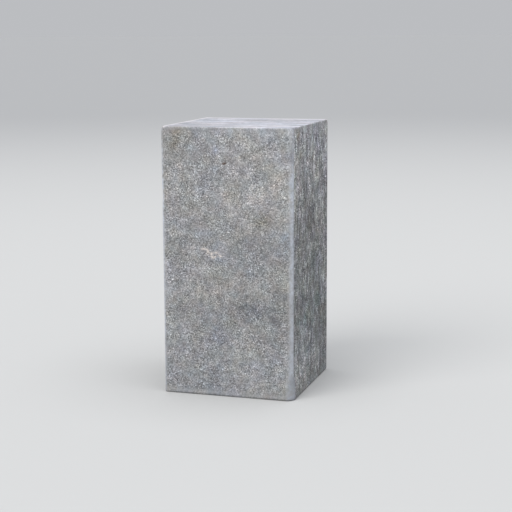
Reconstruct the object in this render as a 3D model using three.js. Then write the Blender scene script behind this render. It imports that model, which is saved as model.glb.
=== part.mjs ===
// A square stone plinth block in one piece, with eased arrises, narrow smooth margins beside them
// and bush-hammered fields on its four sides. Millimetres, +Z up. The origin is the middle of the
// underside, the front is at -Y and the right side at +X.
import * as THREE from "three";

// Block
const WIDTH = 400;
const DEPTH = 400;
const HEIGHT = 800;

// Upright arrises: how far they cut back along the side before the corner, at the head and the foot,
// how far the hand strayed from that, and how far they cut back along the side after the corner
const ARRIS_HEAD = 6;
const ARRIS_FOOT = 12;
const ARRIS_STRAY = 1;
const ARRIS_STRAY_LENGTH = 260;
const RETURN_HEAD = 7;
const RETURN_FOOT = 3;

// Wear of the lowest corners: how much further the most worn arris cuts back there along the side
// before it and the side after it, from which height down in full, and from which height up not
const WEAR_LEG = 8;
const WEAR_RETURN = 18;
const WEAR_FULL = 40;
const WEAR_NONE = 85;

// Level arrises round the top and the underside
const TOP_ARRIS = 2;
const FOOT_ARRIS = 5;

// Section of every arris: 1 is a flat chamfer and 2 a quarter round
const ARRIS_ROUNDNESS = 1.5;
const ARRIS_STEPS = 3;

// Smooth margins beside the arrises, and the short slope from them down to the tooled fields
const MARGIN_WIDTH = 2;
const MARGIN_SLOPE = 6;
const FIELD_SINK = 0.8;

// Tooled fields: broad hollows of the dressing, and the rough left by the bush hammer
const HOLLOW_DEPTH = 1.2;
const HOLLOW_LENGTH = 150;
const HOLLOW_SLANT = 0.4;
const ROUGH_DEPTH = 1;
const ROUGH_PITCH = 28;
const ROUGH_SEED = 41;

// Closest that two lines of the grid on a side come to each other, and the share of the top's and
// the underside's width that their two middle triangles take
const LINE_GAP = 5;
const CAP_PANEL = 0.8;

// The four sides, counter-clockwise from the front: how long each is, how far out it stands, and how
// eased the arris at its end and how worn the lowest corner there are, from 0 to 1
const SIDES = [
  { name: "front", eased: 1, worn: 1 },
  { name: "right", eased: 0.3, worn: 0.1 },
  { name: "back", eased: 0.7, worn: 0.5 },
  { name: "left", eased: 0.3, worn: 0 },
].map((side, turn) => ({
  ...side,
  turn,
  length: turn % 2 ? DEPTH : WIDTH,
  reach: (turn % 2 ? WIDTH : DEPTH) / 2,
}));

// Pits in the sides and chips on the arrises: where their middle is, across from the middle of the
// side and down from the top, and how wide, tall and deep they are
const BITES = [
  { side: "front", across: -10, down: 100, wide: 16, tall: 12, deep: 5 },
  { side: "front", across: -WIDTH / 2, down: 200, wide: 30, tall: 42, deep: 3 },
  { side: "front", across: -WIDTH / 2, down: 0, wide: 36, tall: 22, deep: 4 },
  { side: "right", across: -148, down: 155, wide: 28, tall: 32, deep: 4 },
  { side: "right", across: 160, down: 190, wide: 30, tall: 44, deep: 4 },
  { side: "right", across: -168, down: 0, wide: 86, tall: 24, deep: 4 },
  { side: "back", across: -WIDTH / 2, down: 0, wide: 26, tall: 16, deep: 2 },
  { side: "back", across: WIDTH / 2, down: 520, wide: 32, tall: 48, deep: 4 },
];

// A place on the section of an arris that reaches 1 each way, as the share that it runs along from
// where it leaves the first face, and the share that it still stands out
function arrisSection(share) {
  const angle = (share * Math.PI) / 2;
  const power = 2 / ARRIS_ROUNDNESS;
  return { along: Math.sin(angle) ** power, out: Math.cos(angle) ** power };
}

// How far the upright arris at the end of a side cuts back at a height: its leg along that side, and
// its return along the next one
function uprightArris(side, height) {
  const share = height / HEIGHT;
  const stray = Math.sin((2 * Math.PI * height) / ARRIS_STRAY_LENGTH + 2 * side.turn);
  const wear = side.worn * (1 - THREE.MathUtils.smoothstep(height, WEAR_FULL, WEAR_NONE));
  const leg = THREE.MathUtils.lerp(ARRIS_FOOT, ARRIS_HEAD, share) + ARRIS_STRAY * stray;
  const back = THREE.MathUtils.lerp(RETURN_FOOT, RETURN_HEAD, share);
  return { leg: side.eased * leg + WEAR_LEG * wear, back: side.eased * back + WEAR_RETURN * wear };
}

// Where a side starts and stops between its two upright arrises, in a ring that is drawn in
function sideSpan(side, { height, inset }) {
  const before = SIDES[(side.turn + SIDES.length - 1) % SIDES.length];
  const end = side.length / 2 - inset;
  return [uprightArris(before, height).back - end, end - uprightArris(side, height).leg];
}

// Grid lines about an even pitch apart, with a line at each wanted place between the two ends
function gridLines(from, to, wanted) {
  const count = Math.max(1, Math.round((to - from) / ROUGH_PITCH));
  const even = Array.from({ length: count }, (_, i) => THREE.MathUtils.lerp(from, to, i / count));
  const lines = [from, to];
  for (const place of [...wanted, ...even]) {
    const inside = place > from && place < to;
    if (inside && lines.every((line) => Math.abs(line - place) >= LINE_GAP)) lines.push(place);
  }
  return lines.sort((a, b) => a - b);
}

// The middle and both ends of a stretch
function stretch(middle, size) {
  return [middle - size / 2, middle, middle + size / 2];
}

// Where the mesh has its columns on a side, as shares of the way between the side's two arrises
function sideColumns(side) {
  const [start, stop] = sideSpan(side, { height: HEIGHT / 2, inset: 0 });
  const field = MARGIN_WIDTH + MARGIN_SLOPE;
  const wanted = BITES.filter((bite) => bite.side === side.name).flatMap((bite) =>
    stretch(bite.across, bite.wide),
  );
  const inner = gridLines(start + field, stop - field, wanted);
  const places = [start, start + MARGIN_WIDTH, ...inner, stop - MARGIN_WIDTH, stop];
  return places.map((place) => THREE.MathUtils.inverseLerp(start, stop, place));
}

// Rings of the mesh from the underside to the top: their heights, and how far a level arris has
// drawn each of them in
function rings() {
  const foot = [];
  const top = [];
  for (let step = 0; step <= ARRIS_STEPS; step++) {
    const { along, out } = arrisSection(step / ARRIS_STEPS);
    foot.unshift({ height: FOOT_ARRIS * (1 - along), inset: FOOT_ARRIS * (1 - out) });
    top.push({ height: HEIGHT - TOP_ARRIS * (1 - along), inset: TOP_ARRIS * (1 - out) });
  }
  const low = FOOT_ARRIS + MARGIN_WIDTH;
  const high = HEIGHT - TOP_ARRIS - MARGIN_WIDTH;
  const wanted = BITES.flatMap((bite) => stretch(HEIGHT - bite.down, bite.tall));
  const field = gridLines(low + MARGIN_SLOPE, high - MARGIN_SLOPE, wanted);
  const heights = [low, ...field, high];
  return [...foot, ...heights.map((height) => ({ height, inset: 0 })), ...top];
}

// How far a place is onto the tooled field: 0 on the margins and 1 past their slopes
function tooled(across, height, [start, stop]) {
  const fromSides = Math.min(across - start, stop - across);
  const fromEnds = Math.min(height - FOOT_ARRIS, HEIGHT - TOP_ARRIS - height);
  const inside = Math.min(fromSides, fromEnds) - MARGIN_WIDTH;
  return THREE.MathUtils.clamp(inside / MARGIN_SLOPE, 0, 1);
}

// How far the dressing dips at a place, from 0 to 1: two long waves that cross on each side
function hollow(side, across, height) {
  const turn = (2 * Math.PI) / HOLLOW_LENGTH;
  const steep = Math.sin(turn * (across + HOLLOW_SLANT * height) + side.turn);
  const level = Math.sin(turn * (height - HOLLOW_SLANT * across) + 2 * side.turn);
  return (2 + steep + level) / 4;
}

// A point in plan from its place along a side and its distance out from the block's middle
function planPoint(side, along, out) {
  const angle = (side.turn * Math.PI) / 2;
  return new THREE.Vector2(along, -out).rotateAround(new THREE.Vector2(), angle);
}

// The pits and chips as points in space
const BITE_PLACES = BITES.map((bite) => {
  const side = SIDES.find(({ name }) => name === bite.side);
  const plan = planPoint(side, bite.across, side.reach);
  return { ...bite, middle: new THREE.Vector3(plan.x, plan.y, HEIGHT - bite.down) };
});

// How deep the pits and chips go at a point of the surface
function biteDepth(plan, height) {
  return BITE_PLACES.reduce((depth, { middle, wide, tall, deep }) => {
    const across = Math.hypot(plan.x - middle.x, plan.y - middle.y) / (wide / 2);
    const spread = Math.hypot(across, (height - middle.z) / (tall / 2));
    return depth + deep * Math.max(0, 1 - spread ** 2);
  }, 0);
}

// The points of one ring, counter-clockwise: on each side its columns from one arris to the other,
// and then the turn of the arris to the next side
function ringPoints({ height, inset }, columns) {
  return SIDES.flatMap((side, turn) => {
    const span = sideSpan(side, { height, inset });
    const out = side.reach - inset;
    const face = columns[turn].map((share) => {
      const across = THREE.MathUtils.lerp(...span, share);
      const rough = ROUGH_DEPTH * THREE.MathUtils.seededRandom();
      const dip = FIELD_SINK + HOLLOW_DEPTH * hollow(side, across, height) + rough;
      return { along: across, out, angle: 0, dip: tooled(across, height, span) * dip };
    });
    const { leg, back } = uprightArris(side, height);
    for (let step = 1; step < ARRIS_STEPS; step++) {
      const section = arrisSection(step / ARRIS_STEPS);
      face.push({
        along: span[1] + leg * section.along,
        out: out - back * (1 - section.out),
        angle: ((step / ARRIS_STEPS) * Math.PI) / 2,
        dip: 0,
      });
    }
    return face.map((point) => {
      const plan = planPoint(side, point.along, point.out);
      const [sin, cos] = [Math.sin(point.angle), Math.cos(point.angle)];
      const inwards = planPoint(side, -sin, -cos).divideScalar(Math.max(sin, cos));
      plan.addScaledVector(inwards, point.dip + biteDepth(plan, height));
      return [plan.x, plan.y, height];
    });
  });
}

// A flat cap inside one ring: two large triangles between four corner points nearer the middle, and
// a fan from each of them to the stretch of the ring in its quarter
function capFaces(points, ring) {
  const height = points[ring[0]][2];
  const quarter = (index) => (points[index][0] > 0) * 1 + (points[index][1] > 0) * 2;
  const corners = [-1, 1].flatMap((y) => [-1, 1].map((x) => [x, y]));
  const start = points.length;
  for (const [x, y] of corners) {
    points.push([(x * CAP_PANEL * WIDTH) / 2, (y * CAP_PANEL * DEPTH) / 2, height]);
  }
  const faces = [];
  ring.forEach((point, place) => {
    const next = ring[(place + 1) % ring.length];
    const [near, far] = [start + quarter(point), start + quarter(next)];
    faces.push([point, next, near]);
    if (near !== far) faces.push([next, far, near]);
  });
  faces.push([start, start + 1, start + 3], [start, start + 3, start + 2]);
  return faces;
}

// A closed surface from rings of equal numbers of points, with a flat underside and a flat top
function ringSurface(ringList) {
  const around = ringList[0].length;
  const last = ringList.length - 1;
  const points = ringList.flat();
  const ringAt = (ring) => Array.from({ length: around }, (_, column) => ring * around + column);
  const faces = [];
  for (let ring = 0; ring < last; ring++) {
    const [low, high] = [ringAt(ring), ringAt(ring + 1)];
    for (let column = 0; column < around; column++) {
      const next = (column + 1) % around;
      faces.push([low[column], low[next], high[next]], [low[column], high[next], high[column]]);
    }
  }
  faces.push(...capFaces(points, ringAt(0)).map((face) => face.reverse()));
  faces.push(...capFaces(points, ringAt(last)));
  const geometry = new THREE.BufferGeometry();
  geometry.setAttribute("position", new THREE.Float32BufferAttribute(points.flat(), 3));
  geometry.setIndex(faces.flat());
  geometry.computeVertexNormals();
  return geometry;
}

function makeBlock() {
  THREE.MathUtils.seededRandom(ROUGH_SEED);
  const columns = SIDES.map(sideColumns);
  const geometry = ringSurface(rings().map((ring) => ringPoints(ring, columns)));
  const stone = new THREE.MeshStandardMaterial({ color: 0x939494, roughness: 0.9, metalness: 0 });
  const block = new THREE.Mesh(geometry, stone);
  block.name = "plinth_block";
  return block;
}

const plinth = new THREE.Group();
plinth.add(makeBlock());

export default plinth;
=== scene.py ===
"""A square stone plinth block with bush-hammered sides, smooth margins, worn arrises and weather marks.

Metres, +Z up. The origin is the middle of the underside, the front is at -Y and the right side at +X.
"""

import math

import bpy
import numpy as np
from mathutils import Euler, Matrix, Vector


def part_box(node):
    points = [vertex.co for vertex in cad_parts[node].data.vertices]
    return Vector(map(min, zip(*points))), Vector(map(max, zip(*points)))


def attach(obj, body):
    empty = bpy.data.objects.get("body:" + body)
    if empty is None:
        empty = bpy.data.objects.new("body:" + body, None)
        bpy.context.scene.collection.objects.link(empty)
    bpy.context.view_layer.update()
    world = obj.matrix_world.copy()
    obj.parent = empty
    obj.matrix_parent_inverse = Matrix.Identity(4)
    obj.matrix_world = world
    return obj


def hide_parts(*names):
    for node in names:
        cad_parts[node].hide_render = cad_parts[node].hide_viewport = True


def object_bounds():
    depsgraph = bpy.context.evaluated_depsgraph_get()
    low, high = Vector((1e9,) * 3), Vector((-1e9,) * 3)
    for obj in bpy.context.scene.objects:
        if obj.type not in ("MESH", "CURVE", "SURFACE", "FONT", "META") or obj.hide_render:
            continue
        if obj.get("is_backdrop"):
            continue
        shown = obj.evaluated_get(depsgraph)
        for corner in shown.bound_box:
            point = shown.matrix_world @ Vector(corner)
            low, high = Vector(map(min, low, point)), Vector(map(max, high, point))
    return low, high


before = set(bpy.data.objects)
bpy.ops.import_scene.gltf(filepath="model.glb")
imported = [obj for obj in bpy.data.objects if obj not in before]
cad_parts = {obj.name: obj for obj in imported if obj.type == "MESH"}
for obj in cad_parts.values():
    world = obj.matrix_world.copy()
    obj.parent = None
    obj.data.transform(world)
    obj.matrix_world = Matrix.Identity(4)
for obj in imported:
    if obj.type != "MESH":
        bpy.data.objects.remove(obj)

CAD_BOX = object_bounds()
BLOCK_LOW, BLOCK_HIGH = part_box("plinth_block")
WIDTH, DEPTH, HEIGHT = BLOCK_HIGH - BLOCK_LOW
SEED = 41

# Camera: the photograph's size and focal length in pixels, its angle, and its distance from the
# block's middle, which is a little left of and above the view's axis
IMAGE_PIXELS = 512
SENSOR = 36.0
FOCAL_PIXELS = 1293.5
YAW = math.radians(17.3)
PITCH = math.radians(9.82)
ROLL = math.radians(-0.31)
DISTANCE = 3.967
MIDDLE_LEFT = 0.0247
MIDDLE_ABOVE = 0.0082

# Studio: how far the floor reaches, where it begins and stops darkening and its colours there, the
# surround's colour and the floor's roughness
FLOOR_REACH = 400.0
FLOOR_NEAR = 1.5
FLOOR_FAR = 14.0
FLOOR_COLOUR = (0.48, 0.48, 0.475)
HORIZON_COLOUR = (0.316, 0.318, 0.323)
SURROUND_COLOUR = (0.50, 0.51, 0.53)
FLOOR_ROUGHNESS = 0.9

# Lamps: name, bearing from the front towards the right, height and softness in degrees, strength
# and colour
LAMPS = [
    ("key", -25, 40, 40, 1.75, (1.0, 0.99, 0.97)),
    ("overhead", 60, 82, 60, 2.1, (0.95, 0.97, 1.0)),
]

# Upright arrises: how far they cut back along the side before the corner, how far the hand strayed
# from that, and how far they cut back along the side after the corner
ARRIS_HEAD = 0.006
ARRIS_FOOT = 0.012
ARRIS_STRAY = 0.001
ARRIS_STRAY_LENGTH = 0.26
RETURN_HEAD = 0.007
RETURN_FOOT = 0.003

# Wear of the lowest corners along the side before and after, and the heights where it begins and ends
WEAR_LEG = 0.008
WEAR_RETURN = 0.018
WEAR_FULL = 0.040
WEAR_NONE = 0.085

# Level arrises, and the section of every arris, from 1 for a flat chamfer to 2 for a quarter round
TOP_ARRIS = 0.002
FOOT_ARRIS = 0.005
ARRIS_ROUNDNESS = 1.5
ARRIS_STEPS = 5

# Margins beside the arrises, the sunk fields and the broad hollows of their dressing
MARGIN_WIDTH = 0.002
MARGIN_SLOPE = 0.006
FIELD_SINK = 0.0008
HOLLOW_DEPTH = 0.0012
HOLLOW_LENGTH = 0.15
HOLLOW_SLANT = 0.4

# Rubbed stone of the arrises, which also carries a painted sky sheen: how bare an arris is where it
# starts, how far that fades onto the side before it and onto the one after it, how bare it is at the
# head, and the heights between which it grows less bare
RUB_START = 0.45
RUB_FADE = 0.008
RUB_NEAR = 0.006
RUB_HEAD = 0.4
RUB_LOW = 0.52
RUB_HIGH = 0.78

# Painted light and shade, as powers of e: how much paler the head of the block is than its foot,
# which is painted light, how pale its middle is, and how much darker the right side is with painted
# shade below and above its tide line
PAINTED_LIGHT_RISE = 0.2
TONE_LEVEL = 0.012
# Painted shade of the right side below and above its tide line
RIGHT_SHADE_BELOW = -0.175
RIGHT_SHADE_ABOVE = -0.1
TIDE_LOW = 0.54
TIDE_HIGH = 0.60

# How far down its arrises the colour of the top, with its painted sky reflection, reaches, and the
# painted highlight along the rim of its back and left
TOP_PALE = 0.001
RIM_HIGHLIGHT_WIDTH = 0.014

# Relief of the bush hammer on the fields: the mesh's pitch, craters of its teeth, crumbling between
# them, grain, how far the mesh's points are shaken as a share of the pitch, and how far in from the
# arrises the relief reaches its full strength
MESH_PITCH = 0.004
BLOW_PITCH = 0.0088
BLOW_REACH = 0.0062
BLOW_DEPTH = 0.0013
WEAKEST_BLOW = 0.35
CRUMB_LENGTH = 0.02
CRUMB_DEPTH = 0.0007
GRAIN_DEPTH = 0.00025
PLACE_JITTER = 0.3
CALM_WIDTH = 0.014

# Nibbled line of the arrises
NIBBLE_DEPTH = 0.0005
NIBBLE_LENGTH = 0.013

# Top and underside: rings of the mesh from their edge to the middle, and slow waves of the top
TOP_RINGS = 16
UNDERSIDE_RINGS = 3
TOP_WAVE = 0.0003
TOP_WAVE_LENGTH = 0.07

# The sides in order round the block: name, length, how far out each stands, and how eased the arris
# at its end and how worn the lowest corner there are
SIDES = [
    ("front", WIDTH, DEPTH / 2, 1.0, 1.0),
    ("right", DEPTH, WIDTH / 2, 0.3, 0.1),
    ("back", WIDTH, DEPTH / 2, 0.7, 0.5),
    ("left", DEPTH, WIDTH / 2, 0.3, 0.0),
]
TURNS = {side[0]: turn for turn, side in enumerate(SIDES)}

# Pits and chips: side, across from its middle, down from the top, width, height and depth
BITES = [
    ("front", -0.010, 0.100, 0.016, 0.012, 0.005),
    ("front", -WIDTH / 2, 0.200, 0.030, 0.042, 0.003),
    ("front", -WIDTH / 2, 0.0, 0.036, 0.022, 0.004),
    ("right", -0.148, 0.155, 0.028, 0.032, 0.004),
    ("right", 0.160, 0.190, 0.030, 0.044, 0.004),
    ("right", -0.168, 0.0, 0.086, 0.024, 0.004),
    ("back", -WIDTH / 2, 0.0, 0.026, 0.016, 0.002),
    ("back", WIDTH / 2, 0.520, 0.032, 0.048, 0.004),
]

# Weather marks: tint, then across from the side's middle, down from the top, width, height and
# strength, in hundredths of a metre except the strength
MARKS = {
    "front": [
        ("warm", 9.5, 19.0, 9, 8, 0.9),
        ("warm", 15.0, 17.0, 4, 9, 0.5),
        ("warm", 0.5, 20.5, 6, 9, 0.6),
        ("warm", -6.0, 26.5, 6, 7, 0.3),
        ("warm", -13.5, 25.0, 6, 8, 0.2),
        ("pale", -15.5, 14.5, 7, 8, 0.5),
        ("pale", -18.8, 48.8, 5, 5, 1.0),
        ("pale", -14.0, 48.5, 5, 3, 0.6),
        ("pale", -14.5, 60.0, 7, 9, 0.45),
        ("pale", -7.5, 65.0, 4, 5, 0.5),
        ("pale", 2.5, 65.0, 6, 6, 0.3),
        ("pale", 1.5, 43.0, 2, 8, 0.4),
        ("pale", -10.5, 38.0, 2, 12, 0.3),
        ("pale", -19.6, 50.0, 6, 76, 0.7),
        ("pale", 3.0, 0.6, 38, 2.8, 0.7),
        ("cool", -3.5, 6.5, 3, 6, 0.9),
        ("cool", 0.5, 1.5, 12, 5, 0.5),
        ("cool", -18.5, 41.0, 4, 6, 0.6),
        ("cool", -2.5, 35.0, 5, 8, 0.4),
        ("cool", -3.0, 60.0, 5, 9, 0.3),
        ("cool", 0.0, 74.0, 44, 24, 0.35),
        ("cool", 17.5, 31.0, 7, 26, 0.45),
        ("cool", 19.5, 17.0, 3, 12, 0.9),
        ("brown", -15.6, 2.5, 5, 6, 0.6),
        ("brown", -16.4, 6.0, 5, 6, 0.6),
        ("brown", 11.0, 27.0, 8, 8, 0.6),
        ("brown", 16.5, 26.0, 4, 6, 0.2),
        ("brown", 3.0, 16.0, 3, 6, 0.3),
        ("brown", 4.5, 43.0, 5, 9, 0.35),
        ("brown", -2.5, 45.0, 6, 6, 0.3),
        ("dark", -9.5, 4.5, 3, 10, 0.55),
        ("dark", -9.0, 9.5, 3, 4, 0.35),
        ("dark", -3.5, 12.5, 6, 5, 0.5),
        ("dark", 8.0, 10.0, 4, 5, 0.5),
        ("dark", 11.5, 4.0, 4, 4, 0.4),
        ("dark", 19.5, 8.5, 3, 6, 0.7),
        ("dark", 6.0, 33.0, 8, 8, 0.55),
        ("dark", 12.0, 35.0, 6, 10, 0.5),
        ("dark", -15.0, 43.0, 4, 9, 0.35),
        ("dark", -17.5, 34.0, 3, 4, 0.4),
        ("dark", 5.5, 53.5, 14, 8, 0.85),
        ("dark", 14.5, 55.0, 6, 9, 0.75),
        ("dark", 17.5, 49.0, 4, 5, 0.4),
        ("dark", -8.5, 53.5, 4, 6, 0.6),
        ("dark", -2.5, 54.5, 4, 8, 0.55),
        ("dark", -14.0, 54.0, 6, 5, 0.55),
        ("dark", 7.2, 62.0, 4, 4, 0.7),
        ("dark", -3.0, 64.0, 6, 5, 0.3),
        ("dark", -15.0, 66.5, 6, 4, 0.4),
        ("dark", 14.5, 64.0, 7, 7, 0.4),
        ("dark", -2.3, 39.0, 3.0, 2.0, 0.8),
        ("rust", -0.8, 10.4, 1.8, 1.2, 2.0),
        ("rust", 1.6, 10.4, 1.0, 1.6, 0.6),
        ("rust", -18.6, 19.0, 0.9, 0.8, 0.6),
        ("rust", -6.6, 36.9, 2.4, 1.2, 0.3),
        ("rust", -3.3, 37.4, 1.2, 1.0, 0.6),
        ("calcite", 4.0, 8.7, 1.2, 1.0, 1.0),
        ("calcite", 2.6, 8.6, 0.9, 0.8, 1.0),
        ("calcite", -14.6, 16.0, 0.9, 0.8, 1.0),
        ("calcite", -11.7, 14.3, 0.9, 0.8, 0.8),
        ("calcite", -7.0, 34.6, 1.4, 1.6, 0.6),
    ],
    "right": [
        ("pale", 0.0, 9.0, 50, 28, 0.42),
        ("pale", -19.0, 13.0, 5, 12, 0.7),
        ("pale", 0.0, 21.5, 5, 5, 0.7),
        ("pale", -7.0, 13.0, 5, 5, 0.4),
        ("pale", -4.0, 38.0, 4, 9, 0.6),
        ("pale", 8.5, 43.0, 4, 5, 1.0),
        ("pale", -1.5, 51.0, 6, 10, 0.8),
        ("pale", 14.5, 26.0, 7, 5, 0.6),
        ("pale", -19.0, 46.0, 5, 9, 0.7),
        ("pale", -9.5, 60.0, 4, 5, 0.5),
        ("pale", -18.0, 70.0, 7, 9, 0.4),
        ("pale", 9.0, 70.0, 7, 6, 0.4),
        ("pale", -18.8, 1.8, 6, 6, 1.2),
        ("pale", 0.0, 72.0, 60, 20, 0.35),
        ("pale", 0.0, 1.0, 60, 7, 0.7),
        ("pale", 17.0, 6.0, 10, 22, 0.7),
        ("brown", -13.5, 2.5, 5, 5, 0.9),
        ("brown", -11.0, 8.5, 5, 4, 0.6),
        ("brown", -10.0, 36.0, 14, 14, 0.5),
        ("brown", 1.0, 31.0, 12, 7, 0.45),
        ("brown", -2.0, 42.5, 8, 5, 0.5),
        ("brown", 14.0, 59.0, 9, 6, 0.8),
        ("dark", -14.0, 4.0, 3, 5, 0.5),
        ("dark", 7.5, 4.0, 8, 5, 0.6),
        ("dark", 6.0, 8.0, 8, 6, 0.25),
        ("dark", -15.2, 14.5, 3, 4, 0.8),
        ("dark", 17.0, 18.0, 4, 6, 0.7),
        ("dark", 14.5, 21.5, 4, 4, 0.6),
        ("dark", 8.0, 21.5, 5, 5, 0.6),
        ("dark", 1.5, 25.0, 12, 4, 0.7),
        ("dark", -9.0, 26.0, 16, 5, 0.4),
        ("dark", -18.0, 35.0, 5, 6, 0.6),
        ("dark", -12.5, 32.0, 8, 10, 0.3),
        ("dark", -8.0, 52.0, 9, 5, 0.8),
        ("dark", 7.5, 49.0, 5, 5, 0.5),
        ("dark", 13.0, 52.0, 8, 5, 0.6),
        ("teal", 3.0, 41.0, 8, 9, 0.7),
        ("teal", 9.0, 55.0, 12, 7, 1.0),
        ("teal", -13.0, 57.5, 6, 4, 0.6),
        ("teal", -5.0, 58.0, 8, 8, 0.6),
        ("teal", 3.0, 60.0, 8, 8, 0.5),
        ("teal", -4.0, 68.0, 6, 4, 0.7),
        ("teal", -13.0, 65.5, 6, 4, 0.5),
        ("teal", 16.5, 74.0, 4, 4, 0.8),
        ("teal", 0.0, 52.0, 60, 62, 0.34),
        ("cool", 6.0, 8.0, 40, 24, 0.35),
    ],
}
MARK_UNIT = 0.01

# Calcite vein of the front: its lines, each through places across from the side's middle and down
# from the top, in hundredths of a metre, and half its width in metres
VEIN = [
    [(-7.9, 35.8), (-7.0, 35.7), (-6.1, 36.0), (-5.9, 36.8), (-5.1, 37.1), (-4.2, 36.8), (-3.7, 36.6)],
    [(-3.7, 36.6), (-3.0, 36.8), (-2.4, 37.4), (-2.0, 37.9)],
    [(-5.1, 37.1), (-4.9, 37.9), (-4.3, 38.3), (-3.7, 37.9)],
]
VEIN_HALF = 0.0028

# Tints of the marks, by which the stone's colour is multiplied, and the ones that aren't broken up
TINTS = {
    "pale": (1.30, 1.30, 1.31),
    "warm": (1.36, 1.28, 1.19),
    "cool": (1.08, 1.15, 1.29),
    "brown": (0.72, 0.66, 0.56),
    "dark": (0.64, 0.65, 0.69),
    "teal": (0.60, 0.70, 0.71),
    "rust": (0.26, 0.19, 0.16),
    "calcite": (1.75, 1.62, 1.42),
}
SOLID_TINTS = ("rust", "calcite")

# Colours of the stone
WARM_STONE = (0.313, 0.297, 0.276)
COOL_STONE = (0.266, 0.281, 0.312)
OLIVE = (0.985, 1.02, 0.96)
LILAC = (1.015, 0.98, 1.03)
# Rubbed stone: real wear with a painted sky sheen, paler towards the head with painted light
RUBBED_AND_SHEEN_STONE = (0.46, 0.49, 0.55)
RUBBED_PAINTED_LIGHT_RISE = 3.0
# The top's colours are paler and bluer with a painted sky reflection
TOP_STONE_AND_SKY_REFLECTION = (0.375, 0.39, 0.445)
TOP_WARM = (0.41, 0.395, 0.43)
# Colour of the painted highlight along the top's back and left rim
RIM_HIGHLIGHT = (0.64, 0.61, 0.625)
CALCITE = (0.80, 0.73, 0.68)
STONE_ROUGHNESS = 0.9
TOP_ROUGHNESS = 0.6

# Noises that are added up, each as its strength, its size, detail, roughness and distortion. A size
# is a length in metres, or how often the noise repeats per metre each way.
GRAIN = [(4.0, 0.0042, 2.0, 0.6, 0.6), (1.2, 0.0024, 1.0, 0.5, 0.0)]
RAGGED = [(2.6, 0.011, 3.0, 0.65, 0.0)]
MOTTLE = [(0.7, 0.010, 2.0, 0.6, 0.0), (1.1, 0.028, 3.0, 0.55, 0.0)]
STREAKS = [
    (1.9, (32, 32, 9), 3.0, 0.65, 0.4),
    (0.9, (14, 14, 4), 2.0, 0.5, 0.0),
    (2.2, (80, 80, 34), 2.0, 0.6, 0.0),
    (1.0, (70, 70, 150), 1.0, 0.5, 0.0),
]
CLOUD = [(0.35, 0.17, 2.0, 0.5, 0.0)]
DRIFT = [(1.15, 0.08, 2.0, 0.5, 0.0), (1.2, 0.025, 2.0, 0.5, 0.0)]
BLOTCH = [(1.4, 0.007, 2.0, 0.5, 0.0), (0.8, 0.03, 2.0, 0.5, 0.0)]
BRUSHED = [
    (2.6, (4, 28, 4), 3.0, 0.6, 0.0),
    (0.6, 0.06, 3.0, 0.6, 0.0),
    (1.2, 0.012, 2.0, 0.5, 0.0),
]

# Noises that are carried to a range, each as its length, detail and roughness, then the noise's low
# and high and what they become
PATCHES = (0.045, 2.0, 0.5, 0.35, 0.65, 0.72, 1.15)
TINGES = (0.05, 2.0, 0.5, 0.3, 0.7, 0.0, 1.0)
BREAKS = (0.018, 3.0, 0.6, 0.3, 0.62, 0.35, 1.3)
FLAKES = (0.008, 2.0, 0.5, 0.35, 0.6, 0.4, 1.0)
TOP_TINGES = (0.1, 2.0, 0.5, 0.35, 0.65, 0.0, 1.0)

# How strong things are on the sheltered side, where they are 1 elsewhere, and how strong the streaks
# and tinges are elsewhere
SHELTERED_GRAIN = 1.5
SHELTERED_MOTTLE = 1.4
SHELTERED_STREAKS = 1.5
SHELTERED_RELIEF = 0.4
OPEN_STREAKS = 0.15
OPEN_TINGE = 0.5

# How strong the patterns are beside the arrises and on rubbed stone, how much darker a crater is with
# dirt and painted shade as a power of e, the start and end of rubbed stone, its cover and the top's,
# and the depth of the grain
EDGE_CALM = 0.45
RUBBED_CALM = 0.5
STRIKE_SHADE = -0.15
BARE_START = 0.1
BARE_FULL = 0.9
BARE_COVER = 0.65
TOP_COVER = 0.9
RELIEF_DEPTH = 0.0008

# Texture map: islands of the four sides, the top and the underside, each as left, low, wide, tall
# and whether it lies on its side
MAP_GAP = 0.01
MAP_WIDE = 0.3
MAP_TALL = 0.6
MAP_UNDERSIDE = 0.04
MAP_ROW = 2 * MAP_GAP + MAP_WIDE
SIDE_ISLANDS = [
    (MAP_GAP, MAP_ROW, MAP_WIDE, MAP_TALL, False),
    (2 * MAP_GAP + MAP_WIDE, MAP_ROW, MAP_WIDE, MAP_TALL, False),
    (3 * MAP_GAP + 2 * MAP_WIDE, MAP_ROW, MAP_WIDE, MAP_TALL, False),
    (MAP_GAP, MAP_GAP, MAP_TALL, MAP_WIDE, True),
]
TOP_ISLAND = (2 * MAP_GAP + MAP_TALL, MAP_GAP, MAP_WIDE)
UNDERSIDE_ISLAND = (4 * MAP_GAP + 3 * MAP_WIDE, MAP_GAP, MAP_UNDERSIDE)


def arris_section(share):
    """How far a place on an arris runs along from the first face, and how far it still stands out."""
    angle = share * math.pi / 2
    power = 2 / ARRIS_ROUNDNESS
    return math.sin(angle) ** power, max(0.0, math.cos(angle)) ** power


def smooth_step(value, low, high):
    """A share that rises smoothly from 0 at the low value to 1 at the high one."""
    share = np.clip((value - low) / (high - low), 0, 1)
    return share * share * (3 - 2 * share)


def upright_arris(turn, height):
    """How far the upright arris at the end of a side cuts back along it and along the next side."""
    share = height / HEIGHT
    stray = np.sin(2 * math.pi * height / ARRIS_STRAY_LENGTH + 2 * turn)
    _, _, _, eased, worn = SIDES[turn]
    wear = worn * (1 - smooth_step(height, WEAR_FULL, WEAR_NONE))
    leg = ARRIS_FOOT + (ARRIS_HEAD - ARRIS_FOOT) * share + ARRIS_STRAY * stray
    back = RETURN_FOOT + (RETURN_HEAD - RETURN_FOOT) * share
    return eased * leg + WEAR_LEG * wear, eased * back + WEAR_RETURN * wear


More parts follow.
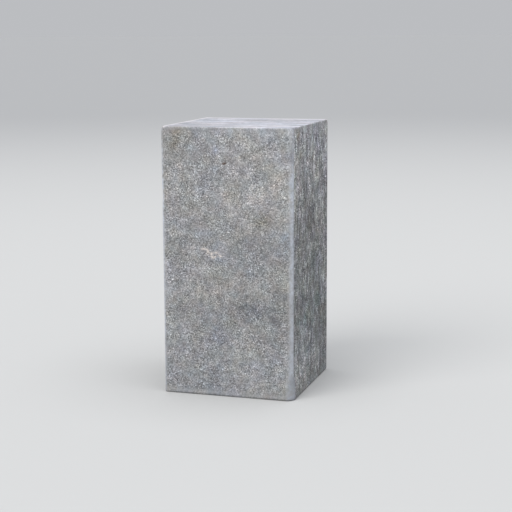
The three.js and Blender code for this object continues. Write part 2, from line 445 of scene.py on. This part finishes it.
def hollow(turn, across, height):
    """How far the dressing dips, from 0 to 1: two long waves that cross."""
    wave = 2 * math.pi / HOLLOW_LENGTH
    steep = np.sin(wave * (across + HOLLOW_SLANT * height) + turn)
    level = np.sin(wave * (height - HOLLOW_SLANT * across) + 2 * turn)
    return (2 + steep + level) / 4


def smooth_noise(x, y, length, rng):
    """Noise from 0 to 1 over a plane: random values on a square lattice, joined smoothly."""
    u = (x - x.min()) / length
    v = (y - y.min()) / length
    lattice = rng.random((int(u.max()) + 2, int(v.max()) + 2))
    i, j = u.astype(int), v.astype(int)
    a, b = u - i, v - j
    a, b = a * a * (3 - 2 * a), b * b * (3 - 2 * b)
    low = lattice[i, j] * (1 - a) + lattice[i + 1, j] * a
    high = lattice[i, j + 1] * (1 - a) + lattice[i + 1, j + 1] * a
    return low * (1 - b) + high * b


def blows(x, y, rng):
    """Craters of the bush hammer, from 0 on the rough between them to 1 in the deepest middle."""
    u = (x - x.min()) / BLOW_PITCH + 1
    v = (y - y.min()) / BLOW_PITCH + 1
    shape = (int(u.max()) + 3, int(v.max()) + 3)
    shift = rng.random((2, *shape))
    strength = WEAKEST_BLOW + (1 - WEAKEST_BLOW) * rng.random(shape)
    deepest = np.zeros_like(u)
    for di in (-1, 0, 1):
        for dj in (-1, 0, 1):
            i, j = u.astype(int) + di, v.astype(int) + dj
            away = np.hypot(i + shift[0, i, j] - u, j + shift[1, i, j] - v)
            spread = away * BLOW_PITCH / BLOW_REACH
            deepest = np.maximum(deepest, strength[i, j] * np.clip(1 - spread**2, 0, 1))
    return deepest


def plan_point(turn, along, out):
    """A point in plan from its place along a side and its distance out from the middle."""
    cos, sin = [(1, 0), (0, 1), (-1, 0), (0, -1)][turn]
    return along * cos + out * sin, along * sin - out * cos


def bite_spread(x, y, z, side, across, down, wide, tall):
    """How far points are from a place on a side: 0 in its middle and 1 at its edge."""
    middle_x, middle_y = plan_point(TURNS[side], across, SIDES[TURNS[side]][2])
    level = np.hypot(x - middle_x, y - middle_y) / (wide / 2)
    return np.hypot(level, (z - (HEIGHT - down)) / (tall / 2))


def bite_depth(x, y, z):
    """How deep the pits and chips go at points of the surface."""
    depth = np.zeros_like(x)
    for *place, deep in BITES:
        depth += deep * np.clip(1 - bite_spread(x, y, z, *place) ** 2, 0, 1)
    return depth


def tint_share(x, y, z, wanted):
    """How strong the weather marks of one tint are at points of the surface."""
    share = np.zeros_like(x)
    for side, marks in MARKS.items():
        for tint, *place, strength in marks:
            if tint == wanted:
                spread = bite_spread(x, y, z, side, *(value * MARK_UNIT for value in place))
                share += strength * np.exp(-2 * spread**2)
    return share


def vein_share(x, y, z):
    """How strong the calcite vein is at points of the surface."""
    nearest = np.full_like(x, np.inf)
    for line in VEIN:
        for ends in zip(line, line[1:]):
            (across, down), (next_across, next_down) = np.array(ends) * MARK_UNIT
            run, rise = next_across - across, down - next_down
            share = ((x - across) * run + (z - HEIGHT + down) * rise) / (run**2 + rise**2)
            share = np.clip(share, 0, 1)
            away = np.hypot(x - across - share * run, z - HEIGHT + down - share * rise)
            nearest = np.minimum(nearest, away)
    return np.exp(-((nearest / VEIN_HALF) ** 2)) * (y < 0)


def ring_heights():
    """Heights of the rings from the underside to the top, and how far a level arris draws each in."""
    foot, top = [], []
    for step in range(ARRIS_STEPS + 1):
        along, out = arris_section(step / ARRIS_STEPS)
        foot.insert(0, (FOOT_ARRIS * (1 - along), FOOT_ARRIS * (1 - out)))
        top.append((HEIGHT - TOP_ARRIS * (1 - along), TOP_ARRIS * (1 - out)))
    low, high = FOOT_ARRIS, HEIGHT - TOP_ARRIS
    count = round((high - low) / MESH_PITCH)
    middle = [(low + (high - low) * row / count, 0.0) for row in range(1, count)]
    return np.array(foot + middle + top).T


def edge_distances(across, height, start, stop):
    """How far places on a side are from its upright arrises and from its level ones."""
    upright = np.minimum(across - start, stop - across)
    level = np.minimum(height - FOOT_ARRIS, HEIGHT - TOP_ARRIS - height)
    return upright, level


def side_grid(turn, heights, insets, rng):
    """One side and the arris after it: x, y, z, and how inner, struck and rubbed each point is.

    A point is inner when it is well in from the arrises, and struck in the craters of the hammer.
    Rubbed stone also carries a painted sky sheen.
    """
    _, length, reach, _, _ = SIDES[turn]
    height, inset = heights[:, None], insets[:, None]
    end, out = length / 2 - inset, reach - inset
    leg, back = upright_arris(turn, height)
    start, stop = upright_arris((turn + 3) % 4, height)[1] - end, end - leg
    count = round((length - ARRIS_FOOT) / MESH_PITCH)
    across = start + np.linspace(0, 1, count + 1) * (stop - start)
    level = height + 0 * across
    upright, flat = edge_distances(across, level, start, stop)
    edge = np.minimum(upright, flat)
    tooled = np.clip((edge - MARGIN_WIDTH) / MARGIN_SLOPE, 0, 1)
    worked = smooth_step(edge, -MARGIN_WIDTH, CALM_WIDTH)
    inner = smooth_step(np.minimum(upright, flat / 2), 0, CALM_WIDTH)
    bareness = RUB_HEAD + (1 - RUB_HEAD) * (1 - smooth_step(height, RUB_LOW, RUB_HIGH))
    fade_out = RUB_START * np.clip(1 - (stop - across) / RUB_FADE, 0, 1)
    fade_in = np.clip(1 - (across - start) / RUB_NEAR, 0, 1)
    rubbed_and_sheen = bareness * np.maximum(fade_out, fade_in)
    jitter = PLACE_JITTER * MESH_PITCH * tooled
    across = across + jitter * (2 * rng.random(across.shape) - 1)
    level = level + jitter * (2 * rng.random(across.shape) - 1)

    strike = blows(across, level, rng)
    crumb = smooth_noise(across, level, CRUMB_LENGTH, rng)
    rough = BLOW_DEPTH * strike + CRUMB_DEPTH * crumb + GRAIN_DEPTH * rng.random(across.shape)
    dip = tooled * (FIELD_SINK + HOLLOW_DEPTH * hollow(turn, across, level) + worked * rough)
    x, y = plan_point(turn, across, out + 0 * across)
    inward_x, inward_y = plan_point(turn, 0.0, -1.0)
    dip = dip + bite_depth(x, y, level)
    strips = [(x + inward_x * dip, y + inward_y * dip, level, inner, strike * worked, rubbed_and_sheen)]

    nibble = NIBBLE_DEPTH * smooth_noise(height, 0 * height, NIBBLE_LENGTH, rng)
    for step in range(1, ARRIS_STEPS):
        along, still_out = arris_section(step / ARRIS_STEPS)
        angle = step / ARRIS_STEPS * math.pi / 2
        x, y = plan_point(turn, stop + leg * along, out - back * (1 - still_out))
        reach_in = max(math.sin(angle), math.cos(angle))
        inward_x, inward_y = plan_point(turn, -math.sin(angle) / reach_in, -math.cos(angle) / reach_in)
        dip = nibble + bite_depth(x, y, height)
        bared = bareness * (RUB_START + (1 - RUB_START) * along)
        strips.append((x + inward_x * dip, y + inward_y * dip, height, 0 * x, 0 * x, bared))
    return [np.concatenate(parts, axis=1) for parts in zip(*strips)]


def quads_between(low, high):
    """Faces between two closed rows of points, counter-clockwise from outside."""
    return np.stack([low, np.roll(low, -1), np.roll(high, -1), high], axis=1)


def side_places(widths, rings):
    """Places on the texture map at the corners of the faces of the four sides, ring by ring."""
    rows = np.linspace(0, 1, rings)
    strips = []
    for (left, low, wide, tall, lying), columns in zip(SIDE_ISLANDS, widths):
        u, v = np.meshgrid(np.linspace(0, 1, columns + 1), rows)
        u, v = (1 - v, u) if lying else (u, v)
        place = np.stack([left + wide * u, low + tall * v], axis=2)
        corners = [place[:-1, :-1], place[:-1, 1:], place[1:, 1:], place[1:, :-1]]
        strips.append(np.stack(corners, axis=2))
    return np.concatenate(strips, axis=1).reshape(-1, 2)


def cap_surface(edge, first, start, rings, island, facing, rng):
    """A flat cap inside a ring: its own points, its faces and their places on the texture map.

    first is the index of the ring's own first point, and start the index of the cap's first one.
    """
    around = len(edge)
    shares = 1 - np.arange(1, rings) / rings
    points = np.concatenate([edge * [share, share, 1] for share in shares] + [edge[:1] * [0, 0, 1]])
    if facing > 0:
        wave = smooth_noise(points[:, 0], points[:, 1], TOP_WAVE_LENGTH, rng)
        points[:, 2] -= TOP_WAVE * wave
    ring_index = [first + np.arange(around)]
    ring_index += [start + ring * around + np.arange(around) for ring in range(rings - 1)]
    middle = start + (rings - 1) * around
    faces = np.concatenate([quads_between(*pair) for pair in zip(ring_index, ring_index[1:])])
    last = ring_index[-1]
    tips = np.stack([last, np.roll(last, -1), np.full(around, middle)], axis=1)
    faces = faces.tolist() + tips.tolist()
    if facing < 0:
        faces = [face[::-1] for face in faces]
    left, low, wide = island
    known = np.concatenate([edge, points])[:, :2]
    order = [i - first if i < start else i - start + around for face in faces for i in face]
    spots = known[order] / [WIDTH, DEPTH] + 0.5
    return points, faces, spots * wide + [left, low]


def block_surface():
    """The block's points, its faces, three marks of the points and the map places of the corners.

    The marks are how inner, struck and rubbed each point is; rubbed stone also carries a painted sky
    sheen.
    """
    rng = np.random.default_rng(SEED)
    heights, insets = ring_heights()
    sides = [side_grid(turn, heights, insets, rng) for turn in range(len(SIDES))]
    x, y, z, *marks = [np.concatenate(parts, axis=1) for parts in zip(*sides)]
    rings, around = x.shape
    grid = np.stack([x, y, z], axis=2)
    index = np.arange(rings * around).reshape(rings, around)
    faces = np.concatenate([quads_between(*pair) for pair in zip(index, index[1:])]).tolist()
    places = [side_places([side[0].shape[1] for side in sides], rings)]
    points = [grid.reshape(-1, 3)]
    for row, count, island, facing in (
        (-1, TOP_RINGS, TOP_ISLAND, 1),
        (0, UNDERSIDE_RINGS, UNDERSIDE_ISLAND, -1),
    ):
        start = sum(len(part) for part in points)
        cap = cap_surface(grid[row], index[row][0], start, count, island, facing, rng)
        points.append(cap[0])
        faces += cap[1]
        places.append(cap[2])
    points = np.concatenate(points)
    marks = [np.pad(mark.ravel(), (0, len(points) - mark.size)) for mark in marks]
    return points, faces, marks, np.concatenate(places)


def make_block():
    """The dressed block as one mesh."""
    points, faces, marks, places = block_surface()
    mesh = bpy.data.meshes.new("stone_block")
    mesh.from_pydata(points.tolist(), [], faces)
    mesh.polygons.foreach_set("use_smooth", np.ones(len(faces), dtype=bool))
    layer = mesh.uv_layers.new(name="OFBake")
    layer.uv.foreach_set("vector", places.astype(np.float32).ravel())
    x, y, z = points.T
    fields = dict(zip(("inner", "strike", "rubbed_and_sheen"), marks))
    fields["top"] = np.clip((z - HEIGHT + bite_depth(x, y, z)) / TOP_PALE + 1, 0, 1)
    right_side = np.clip((x - WIDTH / 2 + ARRIS_HEAD) / ARRIS_HEAD, 0, 1)
    fields["weathered"] = right_side
    above_tide = smooth_step(z, TIDE_LOW, TIDE_HIGH)
    # Painted shade over the right side, deeper below its tide line
    painted_side_shade = RIGHT_SHADE_BELOW + (RIGHT_SHADE_ABOVE - RIGHT_SHADE_BELOW) * above_tide
    # Painted light: the block paler towards its head, about a plain tone level
    fields["painted_height_light"] = TONE_LEVEL + PAINTED_LIGHT_RISE * (z / HEIGHT - 0.5)
    fields["painted_side_shade"] = painted_side_shade * right_side
    fields["vein"] = vein_share(x, y, z)
    inside = np.minimum(WIDTH / 2 + x, DEPTH / 2 - y)
    # Painted highlight along the back and left rim of the top
    fields["rim_highlight"] = fields["top"] * (1 - smooth_step(inside, RIM_HIGHLIGHT_WIDTH / 2, RIM_HIGHLIGHT_WIDTH))
    fields |= {tint: tint_share(x, y, z, tint) for tint in TINTS}
    for name, values in fields.items():
        attribute = mesh.attributes.new(name, "FLOAT", "POINT")
        attribute.data.foreach_set("value", values.astype(np.float32))
    mesh.update()
    block = bpy.data.objects.new("stone_block", mesh)
    bpy.context.scene.collection.objects.link(block)
    return block


class Graph:
    """A short way to write the nodes of one material."""

    def __init__(self, name):
        self.material = bpy.data.materials.new(name)
        self.material.use_nodes = True
        self.nodes = self.material.node_tree.nodes
        self.links = self.material.node_tree.links
        self.shader = self.nodes["Principled BSDF"]
        self.place = self.nodes.new("ShaderNodeTexCoord").outputs["Object"]

    def put(self, socket, value):
        """Links a socket to another node's output, or sets it to a plain value."""
        if isinstance(value, bpy.types.NodeSocket):
            self.links.new(value, socket)
        else:
            socket.default_value = value

    def attribute(self, name):
        """A field of the mesh's points."""
        node = self.nodes.new("ShaderNodeAttribute")
        node.attribute_name = name
        return node.outputs["Fac"]

    def math(self, operation, first, second=0.0, third=0.0, clamp=False):
        """Plain arithmetic on up to three values."""
        node = self.nodes.new("ShaderNodeMath")
        node.operation = operation
        node.use_clamp = clamp
        for socket, value in zip(node.inputs, (first, second, third)):
            self.put(socket, value)
        return node.outputs[0]

    def scaled(self, colour, factor):
        """A colour made lighter or darker by a factor."""
        node = self.nodes.new("ShaderNodeVectorMath")
        node.operation = "SCALE"
        self.put(node.inputs[0], colour)
        self.put(node.inputs["Scale"], factor)
        return node.outputs[0]

    def stretched(self, scale):
        """The place with each axis scaled, for patterns that are longer one way."""
        node = self.nodes.new("ShaderNodeMapping")
        self.put(node.inputs["Vector"], self.place)
        self.put(node.inputs["Scale"], scale)
        return node.outputs[0]

    def noise(self, length, detail=2.0, roughness=0.5, distortion=0.0, place=None):
        """Noise about 0.5 whose coarsest features are a length across."""
        node = self.nodes.new("ShaderNodeTexNoise")
        self.put(node.inputs["Vector"], place or self.place)
        node.inputs["Scale"].default_value = 1 / length
        node.inputs["Detail"].default_value = detail
        node.inputs["Roughness"].default_value = roughness
        node.inputs["Distortion"].default_value = distortion
        return node.outputs["Fac"]

    def noises(self, terms):
        """Noises about 0.5, added up about 0."""
        total = 0.0
        for strength, size, *character in terms:
            if isinstance(size, tuple):
                value = self.noise(1.0, *character, place=self.stretched(size))
            else:
                value = self.noise(size, *character)
            total = self.math("ADD", total, self.math("MULTIPLY_ADD", value, strength, -strength / 2))
        return total

    def between(self, value, low, high, to_low=0.0, to_high=1.0):
        """A value carried from one range to another, smoothly and held at its ends."""
        node = self.nodes.new("ShaderNodeMapRange")
        node.interpolation_type = "SMOOTHSTEP"
        self.put(node.inputs["Value"], value)
        node.inputs["From Min"].default_value = low
        node.inputs["From Max"].default_value = high
        node.inputs["To Min"].default_value = to_low
        node.inputs["To Max"].default_value = to_high
        return node.outputs["Result"]

    def ranged_noise(self, length, detail, roughness, *span):
        """Noise carried to a range."""
        return self.between(self.noise(length, detail, roughness), *span)

    def product(self, first, *others):
        """Values multiplied together."""
        for other in others:
            first = self.math("MULTIPLY", first, other)
        return first

    def mix(self, share, first, second, blend="MIX"):
        """Two colours mixed by a share."""
        node = self.nodes.new("ShaderNodeMix")
        node.data_type = "RGBA"
        node.blend_type = blend
        self.put(node.inputs["Factor"], share)
        self.put(node.inputs["A"], (*first, 1) if isinstance(first, tuple) else first)
        self.put(node.inputs["B"], (*second, 1) if isinstance(second, tuple) else second)
        return node.outputs["Result"]

    def bump(self, height, depth):
        """A normal bent by a height that reaches a depth."""
        node = self.nodes.new("ShaderNodeBump")
        self.put(node.inputs["Height"], height)
        node.inputs["Distance"].default_value = depth
        return node.outputs["Normal"]


def stone_material():
    """Weathered grey limestone: grained sides with marks, painted light at the head and painted shade
    on the right, paler rubbed arrises with a painted sky sheen, and a smoother top with a painted sky
    reflection and a painted rim highlight.
    """
    graph = Graph("grey_limestone")
    rubbed_and_sheen = graph.attribute("rubbed_and_sheen")
    weathered = graph.attribute("weathered")
    painted_height_light = graph.attribute("painted_height_light")
    top = graph.attribute("top")

    # Rubbed stone, which also carries a painted sky sheen, with a ragged edge, and how much the
    # patterns show beside it and on it
    ragged = graph.product(graph.noises(RAGGED), rubbed_and_sheen)
    rubbed_and_sheen = graph.between(graph.math("ADD", rubbed_and_sheen, ragged), BARE_START, BARE_FULL)
    calm = graph.between(graph.attribute("inner"), 0.0, 1.0, EDGE_CALM, 1.0)
    calm = graph.product(calm, graph.between(rubbed_and_sheen, 0.0, 1.0, 1.0, RUBBED_CALM))

    # Grain of the crushed surface, stronger in some patches than in others, and darker in the craters
    patch = graph.product(
        graph.ranged_noise(*PATCHES),
        graph.between(weathered, 0.0, 1.0, 1.0, SHELTERED_GRAIN),
    )
    # Grain of the crushed surface, stronger in some patches than in others, and darker in the craters
    # with dirt and painted shade
    grain = graph.product(graph.noises(GRAIN), patch, calm)
    grain = graph.math("MULTIPLY_ADD", graph.attribute("strike"), STRIKE_SHADE, grain)

    # Mottles, upright streaks left by rain, clouds, painted light towards the head and painted shade on
    # the right side, as one power of e
    mottle = graph.product(
        graph.noises(MOTTLE),
        graph.between(weathered, 0.0, 1.0, 1.0, SHELTERED_MOTTLE),
        calm,
    )
    streaks = graph.product(
        graph.noises(STREAKS),
        graph.between(weathered, 0.0, 1.0, OPEN_STREAKS, SHELTERED_STREAKS),
        calm,
    )
    tone = grain
    # The tone takes in the painted light towards the head and the painted shade of the right side
    for part in (mottle, streaks, graph.noises(CLOUD), painted_height_light, graph.attribute("painted_side_shade")):
        tone = graph.math("ADD", tone, part)
    tone = graph.math("POWER", math.e, tone)

    # Colour: warm and cool drifts, faint tinges, then the weather marks and the vein
    drift = graph.math("ADD", graph.noises(DRIFT), 0.5, clamp=True)
    stone = graph.mix(drift, COOL_STONE, WARM_STONE)
    tinge = graph.mix(graph.ranged_noise(*TINGES), OLIVE, LILAC)
    stone = graph.mix(graph.between(weathered, 0.0, 1.0, OPEN_TINGE, 1.0), stone, tinge, "MULTIPLY")
    broken = graph.ranged_noise(*BREAKS)
    for tint, colour in TINTS.items():
        share = graph.attribute(tint)
        if tint not in SOLID_TINTS:
            share = graph.math("MULTIPLY", share, broken, clamp=True)
        stone = graph.mix(share, stone, colour, "MULTIPLY")
    stone = graph.scaled(stone, tone)
    flaked = graph.product(graph.attribute("vein"), graph.ranged_noise(*FLAKES))
    stone = graph.mix(flaked, stone, CALCITE)

    # Rubbed stone with a painted sky sheen, paler towards the head with painted light
    cover = graph.math("ADD", graph.noises(BLOTCH), BARE_COVER, clamp=True)
    painted_head_light = graph.math("POWER", math.e, graph.product(painted_height_light, RUBBED_PAINTED_LIGHT_RISE))
    stone = graph.mix(graph.product(rubbed_and_sheen, cover), stone, graph.scaled(RUBBED_AND_SHEEN_STONE, painted_head_light))

    # Top: paler and bluer with a painted sky reflection, and smoother, with faint streaks along its
    # width and a painted highlight along its rim
    top_stone_and_sky = graph.mix(graph.ranged_noise(*TOP_TINGES), TOP_STONE_AND_SKY_REFLECTION, TOP_WARM)
    top_stone_and_sky = graph.scaled(top_stone_and_sky, graph.math("ADD", graph.noises(BRUSHED), 1.0))
    stone = graph.mix(graph.product(top, TOP_COVER), stone, top_stone_and_sky)
    # Painted highlight along the back and left rim of the top
    stone = graph.mix(graph.attribute("rim_highlight"), stone, RIM_HIGHLIGHT)

    graph.put(graph.shader.inputs["Base Color"], stone)
    roughness = graph.between(top, 0.0, 1.0, STONE_ROUGHNESS, TOP_ROUGHNESS)
    graph.put(graph.shader.inputs["Roughness"], roughness)
    relief = graph.product(grain, graph.between(weathered, 0.0, 1.0, 1.0, SHELTERED_RELIEF))
    graph.put(graph.shader.inputs["Normal"], graph.bump(relief, RELIEF_DEPTH))
    return graph.material


def add_camera():
    """The photograph's camera, set back from the block's middle along its view."""
    data = bpy.data.cameras.new("camera")
    data.sensor_width = SENSOR
    data.lens = FOCAL_PIXELS / IMAGE_PIXELS * SENSOR
    camera = bpy.data.objects.new("camera", data)
    turn = Euler((math.pi / 2 - PITCH, 0, YAW)).to_matrix() @ Euler((0, 0, ROLL)).to_matrix()
    camera.rotation_euler = turn.to_euler()
    middle = Vector((0, 0, HEIGHT / 2))
    camera.location = middle + turn @ Vector((MIDDLE_LEFT, -MIDDLE_ABOVE, DISTANCE))
    bpy.context.scene.collection.objects.link(camera)
    bpy.context.scene.camera = camera


def add_lamp(name, bearing, height, softness, strength, colour):
    """A distant soft lamp: its bearing from the front towards the right, and its height, in degrees."""
    data = bpy.data.lights.new(name, "SUN")
    data.angle = math.radians(softness)
    data.energy = strength
    data.color = colour
    lamp = bpy.data.objects.new(name, data)
    lamp.rotation_euler = (math.radians(90 - height), 0, math.radians(bearing))
    bpy.context.scene.collection.objects.link(lamp)


def floor_material():
    """A pale floor that darkens a little towards the horizon."""
    graph = Graph("pale_floor")
    away = graph.nodes.new("ShaderNodeVectorMath")
    away.operation = "LENGTH"
    graph.put(away.inputs[0], graph.place)
    near = graph.between(away.outputs["Value"], FLOOR_NEAR, FLOOR_FAR)
    graph.put(graph.shader.inputs["Base Color"], graph.mix(near, FLOOR_COLOUR, HORIZON_COLOUR))
    graph.put(graph.shader.inputs["Roughness"], FLOOR_ROUGHNESS)
    return graph.material


def add_studio():
    """A pale floor, two soft lamps and an even pale surround."""
    mesh = bpy.data.meshes.new("floor")
    corners = [(x * FLOOR_REACH, y * FLOOR_REACH, 0) for x, y in ((-1, -1), (1, -1), (1, 1), (-1, 1))]
    mesh.from_pydata(corners, [], [(0, 1, 2, 3)])
    floor = bpy.data.objects.new("floor", mesh)
    bpy.context.scene.collection.objects.link(floor)
    mesh.materials.append(floor_material())
    floor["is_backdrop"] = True

    for lamp in LAMPS:
        add_lamp(*lamp)
    world = bpy.data.worlds.new("surround")
    world.use_nodes = True
    background = world.node_tree.nodes["Background"]
    background.inputs["Color"].default_value = (*SURROUND_COLOUR, 1)
    bpy.context.scene.world = world
    bpy.context.scene.view_settings.view_transform = "Standard"


add_camera()
block = make_block()
block.data.materials.append(stone_material())
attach(block, "root")
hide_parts("plinth_block")
add_studio()

boxes = {"cad": CAD_BOX, "visual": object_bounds()}
boxes = {name: [list(corner) for corner in box] for name, box in boxes.items()}
